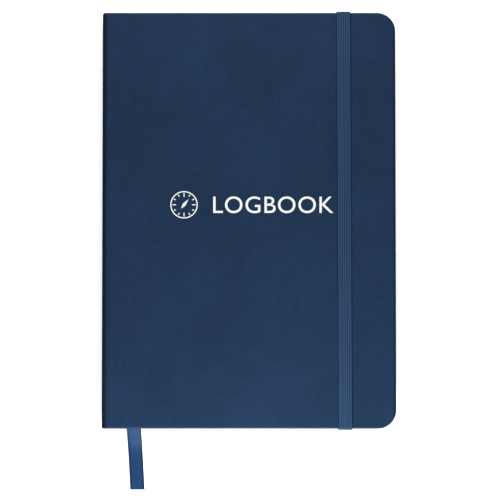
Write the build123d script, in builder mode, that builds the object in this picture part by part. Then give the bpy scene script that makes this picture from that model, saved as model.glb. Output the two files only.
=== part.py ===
"""A5 pilot logbook: a sewn hardback book in a soft case, with a ribbon marker and an elastic closure.

The book lies on its back cover. The spine is on the left (-X), the head of the pages is at +Y,
and the front cover is on top (+Z). Z = 0 is the outer face of the back cover. All sizes are mm.
"""
import os

from build123d import *

os.makedirs("parts", exist_ok=True)

# ---- Driving dimensions -------------------------------------------------------------
COVER_WIDTH = 148.0  # spine to fore edge, A5
COVER_LENGTH = 210.0  # head to tail, A5
FORE_CORNER = 9.3  # radius of the two corners at the fore edge
SPINE_CORNER = 1.0  # radius of the two corners at the spine
EDGE_ROUND = 0.9  # rounding where the case skin rolls over the board

COVER_THICKNESS = 2.4
SKIN = 0.5  # outer layer of the case
BOARD = 1.5  # stiff board inside each cover
PASTEDOWN = 0.4  # endpaper glued inside each cover
TURN_IN = 3.0  # width of skin that shows round the pastedown
BOARD_GAP = 6.0  # flexible strip between the spine and each board

SIGNATURES = 12  # folded bundles of eight leaves
SIGNATURE_THICKNESS = 0.93
FLYLEAF_THICKNESS = 0.15
LEAF_THICKNESS = 0.12
PAGE_WIDTH = 142.1
PAGE_LENGTH = 204.0
PAGE_CORNER = 8.0
FOLD_ROUND = 0.4

BOOK_THICKNESS = 16.8

RIBBON_WIDTH = 7.0
RIBBON_THICKNESS = 0.25
RIBBON_LEAN = 3.3  # degrees that the tail leans towards the fore edge

BAND_WIDTH = 7.0
BAND_THICKNESS = 0.6
BAND_X = 48.1  # centre of the elastic, from the middle of the cover
CHANNEL_WIDTH = 7.9
CHANNEL_DEPTH = 0.62
SLOT_Y = 96.0  # inner face of the slot that the elastic passes through
ELASTIC_TAIL = 16.0  # length of elastic glued under the pastedown

# ---- Positions that follow from them -----------------------------------------------
SPINE_X = -COVER_WIDTH / 2
EDGE_Y = COVER_LENGTH / 2
FORE_X = COVER_WIDTH / 2
BOARD_X = SPINE_X + BOARD_GAP
BLOCK_X = SPINE_X + 2.7  # back of the page block
PAGE_Y = PAGE_LENGTH / 2
PAGE_MID_X = BLOCK_X + PAGE_WIDTH / 2
FLYLEAF_Z = COVER_THICKNESS
BACK_PAGES_Z = FLYLEAF_Z + FLYLEAF_THICKNESS
HALF = SIGNATURES // 2
BACK_TOP_Z = BACK_PAGES_Z + HALF * SIGNATURE_THICKNESS
RIBBON_Z = BACK_TOP_Z + 0.03
LEAF_Z = RIBBON_Z + RIBBON_THICKNESS + 0.03
FRONT_PAGES_Z = LEAF_Z + LEAF_THICKNESS + 0.04
FRONT_FLYLEAF_Z = FRONT_PAGES_Z + HALF * SIGNATURE_THICKNESS + 0.02
FRONT_Z = BOOK_THICKNESS - COVER_THICKNESS  # inner face of the front cover


# ---- Sheets and boards of the two covers --------------------------------------------
# Each cover is a tray of soft skin. It holds a board, and the pastedown closes it.

# Back cover skin, with the channel and the two slots for the elastic
with BuildPart() as back_cover_skin:
    with BuildSketch() as outline:
        Rectangle(COVER_WIDTH, COVER_LENGTH)
        fillet(outline.vertices().group_by(Axis.X)[-1], FORE_CORNER)
        fillet(outline.vertices().group_by(Axis.X)[0], SPINE_CORNER)
    extrude(amount=COVER_THICKNESS)
    rims = back_cover_skin.edges().group_by(Axis.Z)[0] + back_cover_skin.edges().group_by(Axis.Z)[-1]
    fillet([e for e in rims if e.center().X > SPINE_X + 0.1], EDGE_ROUND)
    with BuildSketch(Plane.XY.offset(SKIN)) as board_pocket:
        with Locations(((BOARD_X + FORE_X - SKIN) / 2, 0)):
            Rectangle(FORE_X - SKIN - BOARD_X, COVER_LENGTH - 2 * SKIN)
        fillet(board_pocket.vertices().group_by(Axis.X)[-1], FORE_CORNER - SKIN)
    extrude(amount=BOARD, mode=Mode.SUBTRACT)
    with BuildSketch(Plane.XY.offset(SKIN + BOARD)) as paper_pocket:
        with Locations(((BOARD_X + FORE_X - TURN_IN) / 2, 0)):
            Rectangle(FORE_X - TURN_IN - BOARD_X, COVER_LENGTH - 2 * TURN_IN)
        fillet(paper_pocket.vertices().group_by(Axis.X)[-1], FORE_CORNER - TURN_IN)
    extrude(amount=PASTEDOWN, mode=Mode.SUBTRACT)
    with BuildSketch():
        with Locations((BAND_X, EDGE_Y - 4.5), (BAND_X, 4.5 - EDGE_Y)):
            Rectangle(CHANNEL_WIDTH, 9.2)
    extrude(amount=CHANNEL_DEPTH, mode=Mode.SUBTRACT)
back_cover_skin.part.label = "back_cover_skin"
export_step(back_cover_skin.part, "parts/back_cover_skin.step")

# Front cover skin: the same tray turned over, with no channel
with BuildPart() as front_cover_skin:
    with BuildSketch(Plane.XY.offset(FRONT_Z)) as outline:
        Rectangle(COVER_WIDTH, COVER_LENGTH)
        fillet(outline.vertices().group_by(Axis.X)[-1], FORE_CORNER)
        fillet(outline.vertices().group_by(Axis.X)[0], SPINE_CORNER)
    extrude(amount=COVER_THICKNESS)
    rims = front_cover_skin.edges().group_by(Axis.Z)[0] + front_cover_skin.edges().group_by(Axis.Z)[-1]
    fillet([e for e in rims if e.center().X > SPINE_X + 0.1], EDGE_ROUND)
    with BuildSketch(Plane.XY.offset(FRONT_Z + PASTEDOWN)) as board_pocket:
        with Locations(((BOARD_X + FORE_X - SKIN) / 2, 0)):
            Rectangle(FORE_X - SKIN - BOARD_X, COVER_LENGTH - 2 * SKIN)
        fillet(board_pocket.vertices().group_by(Axis.X)[-1], FORE_CORNER - SKIN)
    extrude(amount=BOARD, mode=Mode.SUBTRACT)
    with BuildSketch(Plane.XY.offset(FRONT_Z)) as paper_pocket:
        with Locations(((BOARD_X + FORE_X - TURN_IN) / 2, 0)):
            Rectangle(FORE_X - TURN_IN - BOARD_X, COVER_LENGTH - 2 * TURN_IN)
        fillet(paper_pocket.vertices().group_by(Axis.X)[-1], FORE_CORNER - TURN_IN)
    extrude(amount=PASTEDOWN, mode=Mode.SUBTRACT)
front_cover_skin.part.label = "front_cover_skin"
export_step(front_cover_skin.part, "parts/front_cover_skin.step")

# Back board, cut away where the elastic lies, passes through and is glued down
with BuildPart() as back_board:
    with BuildSketch(Plane.XY.offset(SKIN)) as outline:
        with Locations(((BOARD_X + FORE_X - SKIN) / 2, 0)):
            Rectangle(FORE_X - SKIN - BOARD_X, COVER_LENGTH - 2 * SKIN)
        fillet(outline.vertices().group_by(Axis.X)[-1], FORE_CORNER - SKIN)
    extrude(amount=BOARD)
    with BuildSketch():
        with Locations((BAND_X, EDGE_Y - 4.5), (BAND_X, 4.5 - EDGE_Y)):
            Rectangle(CHANNEL_WIDTH, 9.2)
    extrude(amount=CHANNEL_DEPTH, mode=Mode.SUBTRACT)
    with BuildSketch():
        slot_mid = SLOT_Y + BAND_THICKNESS / 2
        with Locations((BAND_X, slot_mid), (BAND_X, -slot_mid)):
            Rectangle(CHANNEL_WIDTH, BAND_THICKNESS + 0.2)
    extrude(amount=COVER_THICKNESS, mode=Mode.SUBTRACT)
    with BuildSketch(Plane.XY.offset(SKIN + BOARD - CHANNEL_DEPTH)):
        tail_mid = SLOT_Y + BAND_THICKNESS - ELASTIC_TAIL / 2
        with Locations((BAND_X, tail_mid), (BAND_X, -tail_mid)):
            Rectangle(CHANNEL_WIDTH, ELASTIC_TAIL + 0.2)
    extrude(amount=CHANNEL_DEPTH, mode=Mode.SUBTRACT)
back_board.part.label = "back_board"
export_step(back_board.part, "parts/back_board.step")

# Front board
with BuildPart() as front_board:
    with BuildSketch(Plane.XY.offset(FRONT_Z + PASTEDOWN)) as outline:
        with Locations(((BOARD_X + FORE_X - SKIN) / 2, 0)):
            Rectangle(FORE_X - SKIN - BOARD_X, COVER_LENGTH - 2 * SKIN)
        fillet(outline.vertices().group_by(Axis.X)[-1], FORE_CORNER - SKIN)
    extrude(amount=BOARD)
front_board.part.label = "front_board"
export_step(front_board.part, "parts/front_board.step")

# Pastedowns, the endpapers glued inside the covers
pastedowns = [("back_pastedown", SKIN + BOARD), ("front_pastedown", FRONT_Z)]
for name, height in pastedowns:
    with BuildPart() as pastedown:
        with BuildSketch(Plane.XY.offset(height)) as outline:
            with Locations(((BOARD_X + FORE_X - TURN_IN) / 2, 0)):
                Rectangle(FORE_X - TURN_IN - BOARD_X, COVER_LENGTH - 2 * TURN_IN)
            fillet(outline.vertices().group_by(Axis.X)[-1], FORE_CORNER - TURN_IN)
        extrude(amount=PASTEDOWN)
    pastedown.part.label = name
    export_step(pastedown.part, f"parts/{name}.step")

# ---- Page block ---------------------------------------------------------------------
# Twelve signatures, six in each half. The folded edge of each one is rounded.
starts = [BACK_PAGES_Z + n * SIGNATURE_THICKNESS for n in range(HALF)]
starts += [FRONT_PAGES_Z + n * SIGNATURE_THICKNESS for n in range(HALF)]
for number, height in enumerate(starts, start=1):
    with BuildPart() as signature:
        with BuildSketch(Plane.XY.offset(height)) as outline:
            with Locations((PAGE_MID_X, 0)):
                Rectangle(PAGE_WIDTH, PAGE_LENGTH)
            fillet(outline.vertices().group_by(Axis.X)[-1], PAGE_CORNER)
        extrude(amount=SIGNATURE_THICKNESS)
        folds = signature.edges().filter_by(Axis.Y).group_by(Axis.X)[0]
        fillet(folds, FOLD_ROUND)
    signature.part.label = f"signature_{number:02d}"
    export_step(signature.part, f"parts/signature_{number:02d}.step")

# Flyleaves at both ends, and the single leaf that stands up when the book is open
single_leaves = [
    ("back_flyleaf", FLYLEAF_Z, FLYLEAF_THICKNESS),
    ("middle_leaf", LEAF_Z, LEAF_THICKNESS),
    ("front_flyleaf", FRONT_FLYLEAF_Z, FLYLEAF_THICKNESS),
]
for name, height, thickness in single_leaves:
    with BuildPart() as leaf:
        with BuildSketch(Plane.XY.offset(height)) as outline:
            with Locations((PAGE_MID_X, 0)):
                Rectangle(PAGE_WIDTH, PAGE_LENGTH)
            fillet(outline.vertices().group_by(Axis.X)[-1], PAGE_CORNER)
        extrude(amount=thickness)
    leaf.part.label = name
    export_step(leaf.part, f"parts/{name}.step")

# Sewing thread on the back of each half: five stations of two stitches, joined along the fold
STATION_PITCH = 39.0
STITCH_GAP = 6.0
stitches = []
for station in range(-2, 3):
    stitches.append(station * STATION_PITCH - STITCH_GAP / 2)
    stitches.append(station * STATION_PITCH + STITCH_GAP / 2)
thread_runs = [
    ("sewing_thread_back", BACK_PAGES_Z + 0.1),
    ("sewing_thread_front", FRONT_PAGES_Z + 0.1),
]
for name, height in thread_runs:
    stitch_height = HALF * SIGNATURE_THICKNESS - 0.2
    with BuildPart() as thread:
        with Locations([(BLOCK_X - 0.08, y, height + stitch_height / 2) for y in stitches]):
            Box(0.16, 0.5, stitch_height)
        with Locations((BLOCK_X - 0.08, 0, height + stitch_height / 2)):
            Box(0.16, 4 * STATION_PITCH + STITCH_GAP, 0.4)
    thread.part.label = name
    export_step(thread.part, f"parts/{name}.step")

# ---- Spine ----------------------------------------------------------------------------
SPINE_HEIGHT = FRONT_Z - COVER_THICKNESS
SPINE_MID_Z = BOOK_THICKNESS / 2
SPINE_BOARD = 1.0
SPINE_LIP = 0.3
HEADBAND_BEAD = 0.75

# Spine skin, rolled over the ends of the spine board
with BuildPart() as spine_skin:
    with BuildSketch(Plane.XY.offset(COVER_THICKNESS)) as section:
        with Locations((SPINE_X + (SKIN + SPINE_BOARD + SPINE_LIP) / 2, 0)):
            Rectangle(SKIN + SPINE_BOARD + SPINE_LIP, COVER_LENGTH)
        fillet(section.vertices(), 0.8)
        with Locations((SPINE_X + SKIN + SPINE_BOARD / 2, 0)):
            Rectangle(SPINE_BOARD, COVER_LENGTH - 2 * SKIN, mode=Mode.SUBTRACT)
        with Locations((SPINE_X + SKIN + SPINE_BOARD + SPINE_LIP / 2, 0)):
            Rectangle(SPINE_LIP, COVER_LENGTH - 16, mode=Mode.SUBTRACT)
    extrude(amount=SPINE_HEIGHT)
spine_skin.part.label = "spine_skin"
export_step(spine_skin.part, "parts/spine_skin.step")

# Spine board, a strip of thin card
with BuildPart() as spine_board:
    with Locations((SPINE_X + SKIN + SPINE_BOARD / 2, 0, SPINE_MID_Z)):
        Box(SPINE_BOARD, COVER_LENGTH - 2 * SKIN, SPINE_HEIGHT)
spine_board.part.label = "spine_board"
export_step(spine_board.part, "parts/spine_board.step")

# Mull, the open cloth glued along the back of the block
with BuildPart() as spine_mull:
    with Locations((BLOCK_X - 0.4, 0, SPINE_MID_Z)):
        Box(0.4, 2 * 95.0, SPINE_HEIGHT - 0.4)
spine_mull.part.label = "spine_mull"
export_step(spine_mull.part, "parts/spine_mull.step")

# Headbands: a tape on the back of the block, with a bead over the edge of the pages
for name, side in [("headband_head", 1), ("headband_tail", -1)]:
    with BuildPart() as headband:
        with Locations((BLOCK_X - 0.4, side * 99.0, SPINE_MID_Z)):
            Box(0.4, 7.0, SPINE_HEIGHT - 0.6)
        with Locations((BLOCK_X + 0.1, side * (PAGE_Y + 0.05 + HEADBAND_BEAD), SPINE_MID_Z)):
            Cylinder(HEADBAND_BEAD, SPINE_HEIGHT - 0.6)
    headband.part.label = name
    export_step(headband.part, f"parts/{name}.step")

# ---- Ribbon marker --------------------------------------------------------------------
# The inner part lies between the two halves. The tail hangs from the tail of the pages.
RIBBON_EXIT_X = -58.4
RIBBON_HEAD_X = -61.5
with BuildPart() as ribbon_marker:
    with BuildSketch(Plane.XY.offset(RIBBON_Z)):
        with BuildLine():
            half_width = RIBBON_WIDTH / 2
            Polyline(
                (RIBBON_HEAD_X - half_width, PAGE_Y - 1),
                (RIBBON_HEAD_X + half_width, PAGE_Y - 1),
                (RIBBON_EXIT_X + half_width, 0.3 - PAGE_Y),
                (RIBBON_EXIT_X - half_width, 0.3 - PAGE_Y),
                close=True,
            )
        make_face()
    extrude(amount=RIBBON_THICKNESS)
ribbon_marker.part.label = "ribbon_marker"
export_step(ribbon_marker.part, "parts/ribbon_marker.step")

# Tail: level as it leaves the pages, falling to the table, then flat with a straight-cut end
RIBBON_REACH = 33.1
RIBBON_DROP = RIBBON_Z - 0.03
tail_start = Vector(RIBBON_EXIT_X, -PAGE_Y - 0.3, RIBBON_Z)
tail_plane = Plane(tail_start, x_dir=(0, -1, 0), z_dir=(-1, 0, 0)).rotated((0, 0, RIBBON_LEAN))
with BuildPart() as ribbon_tail:
    with BuildSketch(tail_plane):
        with BuildLine():
            Spline(
                (0, RIBBON_THICKNESS),
                (3.5, RIBBON_THICKNESS - 0.6),
                (13.5, RIBBON_THICKNESS - RIBBON_DROP),
                tangents=[(1, 0), (1, 0)],
            )
            Line((13.5, RIBBON_THICKNESS - RIBBON_DROP), (RIBBON_REACH, RIBBON_THICKNESS - RIBBON_DROP))
            Line((RIBBON_REACH, RIBBON_THICKNESS - RIBBON_DROP), (RIBBON_REACH, -RIBBON_DROP))
            Line((RIBBON_REACH, -RIBBON_DROP), (13.4, -RIBBON_DROP))
            Spline(
                (13.4, -RIBBON_DROP),
                (3.4, -0.62),
                (0, 0),
                tangents=[(-1, 0), (-1, 0)],
            )
            Line((0, 0), (0, RIBBON_THICKNESS))
        make_face()
    extrude(amount=RIBBON_WIDTH / 2, both=True)
ribbon_tail.part.label = "ribbon_tail"
export_step(ribbon_tail.part, "parts/ribbon_tail.step")

# ---- Elastic closure --------------------------------------------------------------------
# One band: over the front, down both ends, under the back cover, through the slots
# and glued inside. It is drawn from the side and given its width.
with BuildPart() as elastic_band:
    band_top = BOOK_THICKNESS + BAND_THICKNESS
    band_end = EDGE_Y + BAND_THICKNESS
    inner_top = BOARD + SKIN
    with BuildSketch(Plane.YZ.offset(BAND_X)) as loop:
        with Locations((0, band_top / 2)):
            Rectangle(2 * band_end, band_top)
        fillet(loop.vertices(), 1.1)
        with Locations((0, (BOOK_THICKNESS + BAND_THICKNESS) / 2)):
            Rectangle(2 * EDGE_Y, BOOK_THICKNESS - BAND_THICKNESS, mode=Mode.SUBTRACT)
        with Locations((0, BAND_THICKNESS / 2)):
            Rectangle(2 * SLOT_Y, BAND_THICKNESS, mode=Mode.SUBTRACT)
        slot_y = SLOT_Y + BAND_THICKNESS / 2
        with Locations((slot_y, inner_top / 2), (-slot_y, inner_top / 2)):
            Rectangle(BAND_THICKNESS, inner_top)
        tail_y = SLOT_Y + BAND_THICKNESS - ELASTIC_TAIL / 2
        with Locations((tail_y, inner_top - BAND_THICKNESS / 2), (-tail_y, inner_top - BAND_THICKNESS / 2)):
            Rectangle(ELASTIC_TAIL, BAND_THICKNESS)
    extrude(amount=BAND_WIDTH / 2, both=True)
elastic_band.part.label = "elastic_band"
export_step(elastic_band.part, "parts/elastic_band.step")
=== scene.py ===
# %% [markdown]
# # Pilot logbook
# A hardback notebook with an elastic closure, a ribbon marker and pages ruled as a flight log. The CAD
# frame holds its exact solids. They are loaded first, and the softer and finer pieces are then drawn in
# the same place. The CAD nodes that a piece stands for are hidden, and some pieces are parented to an
# empty for the body that they ride on.

# %% Start: load the CAD frame
import math

import bmesh
import bpy
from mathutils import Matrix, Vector


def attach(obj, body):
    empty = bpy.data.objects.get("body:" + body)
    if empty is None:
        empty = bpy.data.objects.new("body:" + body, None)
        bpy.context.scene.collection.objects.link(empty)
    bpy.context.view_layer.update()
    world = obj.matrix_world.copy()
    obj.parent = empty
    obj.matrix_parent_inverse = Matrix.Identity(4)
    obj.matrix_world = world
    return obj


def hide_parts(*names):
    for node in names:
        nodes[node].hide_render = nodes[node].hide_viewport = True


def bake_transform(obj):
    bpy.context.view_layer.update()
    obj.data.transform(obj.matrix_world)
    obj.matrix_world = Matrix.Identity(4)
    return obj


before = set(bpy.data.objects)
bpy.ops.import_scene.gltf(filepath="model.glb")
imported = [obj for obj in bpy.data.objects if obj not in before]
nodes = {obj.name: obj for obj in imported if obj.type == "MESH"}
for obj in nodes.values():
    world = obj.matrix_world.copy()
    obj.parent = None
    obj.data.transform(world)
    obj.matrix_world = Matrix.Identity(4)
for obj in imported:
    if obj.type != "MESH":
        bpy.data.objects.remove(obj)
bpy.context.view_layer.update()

MM = 0.001

# %% [markdown]
# The book is 148 by 210 mm and 16.8 mm thick. A size that several pieces share is given once, here; the
# others stand where they are first needed. Sizes are in millimetres, unless a comment says metres, and
# are turned into metres when a mesh is made.

# %% Size of the book
COVER_X0, COVER_X1, COVER_Y, TOP_Z = -74.0, 74.0, 105.0, 16.8
ROLL = 2.0  # radius of the rolled edge between spine and cover
EDGE_R = 1.1  # rounding of the skin over the outer edges of the boards
print("cover:", COVER_X1 - COVER_X0, "by", 2 * COVER_Y, "mm; thickness:", TOP_Z, "mm")

# %% [markdown]
# The camera comes first, because the final views only move it. It looks almost straight down on the
# front cover from 1.3 m, tipped 3 degrees so that the tail of the book is a little nearer.

# %% Camera
def new_object(name, data):
    """An object at the origin, linked to the scene."""
    piece = bpy.data.objects.new(name, data)
    bpy.context.scene.collection.objects.link(piece)
    return piece


CAMERA_AT = Vector((0.53, -15.2, TOP_Z)) * MM
CAMERA_DISTANCE, CAMERA_TILT, FRAME_WIDTH = 1.3, math.radians(2.9), 0.2516
camera = new_object("camera", bpy.data.cameras.new("camera"))
camera.data.lens = camera.data.sensor_width * CAMERA_DISTANCE / FRAME_WIDTH
backwards = Vector((0, -math.sin(CAMERA_TILT), math.cos(CAMERA_TILT)))
camera.location = CAMERA_AT + backwards * CAMERA_DISTANCE
camera.rotation_euler = (CAMERA_TILT, 0, 0)
camera.data.clip_start, camera.data.clip_end = 0.01, 20
bpy.context.scene.camera = camera
bpy.context.scene.view_settings.view_transform = "Standard"
print("camera lens:", round(camera.data.lens), "mm")

# %% [markdown]
# The light is a plain white studio: an even sky, a low soft lamp near the tail, which brightens that
# end of the cover and draws a thin line along its rolled edge, and a weaker one near the head.

# %% Studio
SKY_STRENGTH = 0.66
LAMP_SIZE, LAMP_Y, LAMP_Z = 0.12, 0.31, 0.125  # in metres, as the next line is
AIM_Y, AIM_Z = 0.08, 0.01
world = bpy.data.worlds.new("studio")
bpy.context.scene.world = world
world.use_nodes = True
sky = world.node_tree.nodes["Background"]
sky.inputs["Color"].default_value = (1, 1, 1, 1)
sky.inputs["Strength"].default_value = SKY_STRENGTH


def soft_light(name, side, power):
    """A square lamp past one end of the book that looks at that end. The camera doesn't see it."""
    lamp = bpy.data.lights.new(name, "AREA")
    lamp.size, lamp.energy = LAMP_SIZE, power
    place, aim = Vector((0, side * LAMP_Y, LAMP_Z)), Vector((0, side * AIM_Y, AIM_Z))
    piece = new_object(name, lamp)
    piece.location = place
    piece.rotation_euler = (aim - place).to_track_quat("-Z", "Y").to_euler()
    piece.visible_camera = False
    print(name, power, "W")


soft_light("light_tail", -1, 1.17)
soft_light("light_head", 1, 0.5)


# %% [markdown]
# ## Helpers for materials
# Each finish is one material with its own Principled shader. What several finishes share, a fine
# grain, is a node group that is built once and placed in each of them with its own numbers.

# %% Material helpers
def finish(name, color, roughness, specular=0.5):
    """A material with one Principled shader. Returns the material, its node tree and its shader."""
    material = bpy.data.materials.new(name)
    material.use_nodes = True
    tree = material.node_tree
    shader = tree.nodes["Principled BSDF"]
    shader.inputs["Base Color"].default_value = (*color, 1)
    shader.inputs["Roughness"].default_value = roughness
    shader.inputs["Specular IOR Level"].default_value = specular
    return material, tree, shader


def calc(tree, operation, a, b=None, clamp=False):
    """A Math node. Each of a and b is a socket or a number."""
    node = tree.nodes.new("ShaderNodeMath")
    node.operation, node.use_clamp = operation, clamp
    for socket, value in zip(node.inputs, (a, b)):
        if hasattr(value, "links"):
            tree.links.new(value, socket)
        elif value is not None:
            socket.default_value = value
    return node.outputs[0]


def ramp(tree, value, start, width):
    """A mask that is 0 up to start and 1 from start + width."""
    return calc(tree, "DIVIDE", calc(tree, "SUBTRACT", value, start), width, clamp=True)


def blend_colors(tree, mask, low, high):
    """A colour that goes from low to high with the mask."""
    node = tree.nodes.new("ShaderNodeMix")
    node.data_type = "RGBA"
    for socket, value in zip((node.inputs[0], node.inputs[6], node.inputs[7]), (mask, low, high)):
        if hasattr(value, "links"):
            tree.links.new(value, socket)
        else:
            socket.default_value = (*value, 1)
    return node.outputs[2]


def bump(tree, shader, height, distance, strength):
    """Feeds a height to the shader's Normal. The distance is in metres."""
    node = tree.nodes.new("ShaderNodeBump")
    node.inputs["Strength"].default_value = strength
    node.inputs["Distance"].default_value = distance
    tree.links.new(height, node.inputs["Height"])
    tree.links.new(node.outputs[0], shader.inputs["Normal"])


print("material helpers: finish, calc, ramp, blend_colors, bump")

# %% [markdown]
# The grain group reads a vector and puts out a fine pebble height and a slow, cloudy mask. The case and
# the endpapers use both, card uses the mask, and open cloth uses the height. It is a group because all
# of them need the same nodes with other numbers. Unless a vector is given, it gets Object coordinates.

# %% Grain group
grain_group = bpy.data.node_groups.new("fine_grain", "ShaderNodeTree")
for label, kind, way in [
    ("Vector", "NodeSocketVector", "INPUT"),
    ("Grain Scale", "NodeSocketFloat", "INPUT"),
    ("Cloud Scale", "NodeSocketFloat", "INPUT"),
    ("Height", "NodeSocketFloat", "OUTPUT"),
    ("Cloud", "NodeSocketFloat", "OUTPUT"),
]:
    grain_group.interface.new_socket(label, in_out=way, socket_type=kind)
group_in = grain_group.nodes.new("NodeGroupInput")
group_out = grain_group.nodes.new("NodeGroupOutput")
pebble = grain_group.nodes.new("ShaderNodeTexVoronoi")
pebble.feature = "SMOOTH_F1"
pebble.inputs["Smoothness"].default_value = 0.6
fibre = grain_group.nodes.new("ShaderNodeTexNoise")
fibre.inputs["Detail"].default_value = 3
cloud = grain_group.nodes.new("ShaderNodeTexNoise")
cloud.inputs["Detail"].default_value = 4
cloud.inputs["Roughness"].default_value = 0.65
for node, scale in ((pebble, "Grain Scale"), (fibre, "Grain Scale"), (cloud, "Cloud Scale")):
    grain_group.links.new(group_in.outputs["Vector"], node.inputs["Vector"])
    grain_group.links.new(group_in.outputs[scale], node.inputs["Scale"])
PEBBLE_SHARE = 0.7
pebbles = calc(grain_group, "MULTIPLY", pebble.outputs["Distance"], PEBBLE_SHARE)
mixed = calc(grain_group, "ADD", pebbles, fibre.outputs[0])
grain_group.links.new(mixed, group_out.inputs["Height"])
grain_group.links.new(cloud.outputs[0], group_out.inputs["Cloud"])


def grain(tree, grain_scale, cloud_scale, vector=None):
    """The grain group in a material, on Object coordinates unless a vector is given."""
    node = tree.nodes.new("ShaderNodeGroup")
    node.node_tree = grain_group
    node.inputs["Grain Scale"].default_value = grain_scale
    node.inputs["Cloud Scale"].default_value = cloud_scale
    if vector is None:
        vector = tree.nodes.new("ShaderNodeTexCoord").outputs["Object"]
    tree.links.new(vector, node.inputs["Vector"])
    return node.outputs["Height"], node.outputs["Cloud"]


def attribute_vector(tree, name):
    """A vector that is stored on the mesh, so that it stays put when the mesh bends."""
    node = tree.nodes.new("ShaderNodeAttribute")
    node.attribute_name = name
    return node.outputs["Vector"]


print("grain group:", [socket.name for socket in grain_group.interface.items_tree])

# %% [markdown]
# The case is a soft-touch leatherette, matt and navy, with a pebble so fine that it only breaks up
# the light. Pieces that bend at the hinges store their resting place in an attribute, because Object
# coordinates would swim over them as they turn; the material reads that attribute everywhere. Shade
# is painted into the skin where it rolls over the corner of the spine and along the fore edge.

# %% Case skin material
CASE_DARK, CASE_LIGHT = (0.0038, 0.0176, 0.0480), (0.0086, 0.0310, 0.0805)
# The next colour is painted shade for the rolled corners beside the spine and the fore edge, which turn away
# from the light.
PAINTED_EDGE_SHADE, EDGE_SHADE_DEPTH = (0.0006, 0.0022, 0.0055), 1.05
SKIN_ROUGHNESS, ROUGHNESS_CHANGE = 0.62, 0.06
PEBBLE_SCALE, CLOUD_SCALE = 1300, 34
CLOUD_START, FLECK_START, MOTTLE_WIDTH = 0.32, 0.60, 1 / 2.6
SPINE_EDGE, SPINE_FADE = -0.0742, 0.0036  # in metres, as the next two lines are
CORNER_START, CORNER_FADE = 0.0050, 0.0016  # height from the middle of the spine
FORE_START, FORE_FADE = 0.0722, 0.0018


def skin_finish(name, specular):
    """The navy skin, with painted shade on the rolled corners beside the spine and at the fore edge."""
    material, tree, shader = finish(name, CASE_LIGHT, SKIN_ROUGHNESS, specular=specular)
    rest_place = attribute_vector(tree, "rest_place")
    pebble_height, clouds = grain(tree, PEBBLE_SCALE, CLOUD_SCALE, rest_place)
    cloud_mask = ramp(tree, clouds, CLOUD_START, MOTTLE_WIDTH)
    fleck = ramp(tree, pebble_height, FLECK_START, MOTTLE_WIDTH)
    mask = calc(tree, "MULTIPLY", calc(tree, "ADD", cloud_mask, fleck), 0.5, clamp=True)
    color = blend_colors(tree, mask, CASE_DARK, CASE_LIGHT)
    split = tree.nodes.new("ShaderNodeSeparateXYZ")
    tree.links.new(rest_place, split.inputs[0])
    x, z = split.outputs[0], split.outputs[2]
    # A mask of painted shade: it darkens the rolled corners beside the spine and the fore edge.
    rolled = calc(tree, "SUBTRACT", 1.0, ramp(tree, x, SPINE_EDGE, SPINE_FADE))
    from_middle = calc(tree, "ABSOLUTE", calc(tree, "SUBTRACT", z, TOP_Z * MM / 2))
    corners = calc(tree, "MULTIPLY", rolled, ramp(tree, from_middle, CORNER_START, CORNER_FADE))
    edge_shade = calc(tree, "MAXIMUM", corners, ramp(tree, x, FORE_START, FORE_FADE))
    edge_shade = calc(tree, "MULTIPLY", edge_shade, EDGE_SHADE_DEPTH, clamp=True)
    tree.links.new(blend_colors(tree, edge_shade, color, PAINTED_EDGE_SHADE), shader.inputs["Base Color"])
    roughness = calc(tree, "ADD", SKIN_ROUGHNESS, calc(tree, "MULTIPLY", clouds, ROUGHNESS_CHANGE))
    tree.links.new(roughness, shader.inputs["Roughness"])
    bump(tree, shader, pebble_height, 0.00005, 0.55)
    return material


case_skin = skin_finish("case_skin", 0.15)
rolled_skin = skin_finish("rolled_skin", 0.06)
print("skins:", case_skin.name, rolled_skin.name)

# %% [markdown]
# Paper is warm and matt. The endpapers are plain, so they get a slow change of tone and a fine fibre.

# %% Endpaper
endpaper, tree, shader = finish("endpaper", (0.56, 0.52, 0.43), 0.85, specular=0.2)
fibre_height, clouds = grain(tree, 900, 45)
endpaper_color = blend_colors(tree, clouds, (0.50, 0.46, 0.37), (0.60, 0.56, 0.47))
tree.links.new(endpaper_color, shader.inputs["Base Color"])
bump(tree, shader, fibre_height, 0.00003, 0.5)
print("finish:", endpaper.name)

# %% [markdown]
# Page faces are printed with a log table: a double head rule, columns of the widths that a flight log
# needs, and a line for each entry. An image could hold the table, but lines that are computed from the
# page's UV map stay sharp. The map is in millimetres from the middle of the page, and it bends with it.

# %% Ruled page
PAPER, INK, INK_DENSITY = (0.66, 0.62, 0.53), (0.14, 0.20, 0.34), 0.8
ROW_PITCH, ROW_W, COLUMN_W, HEAD_W = 7.6, 0.22, 0.24, 0.36
TABLE_TOP, TABLE_BOTTOM, TABLE_MARGIN = 78.0, -88.0, 0.2
UV_W, UV_H = 200.0, 250.0  # how much of the plane a page's UV map spans
COLUMNS = (-64.0, -50.0, -36.0, -20.0, -4.0, 10.0, 24.0, 38.0, 52.0, 64.0)


def uv_parts(tree):
    """The two numbers of the piece's own UV map."""
    uv = tree.nodes.new("ShaderNodeUVMap")
    uv.uv_map = "UVMap"
    split = tree.nodes.new("ShaderNodeSeparateXYZ")
    tree.links.new(uv.outputs[0], split.inputs[0])
    return split.outputs[0], split.outputs[1]


def rule_at(tree, value, place, width):
    """The mask of one printed line."""
    away = calc(tree, "ABSOLUTE", calc(tree, "SUBTRACT", value, place))
    return calc(tree, "LESS_THAN", away, width / 2)


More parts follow.
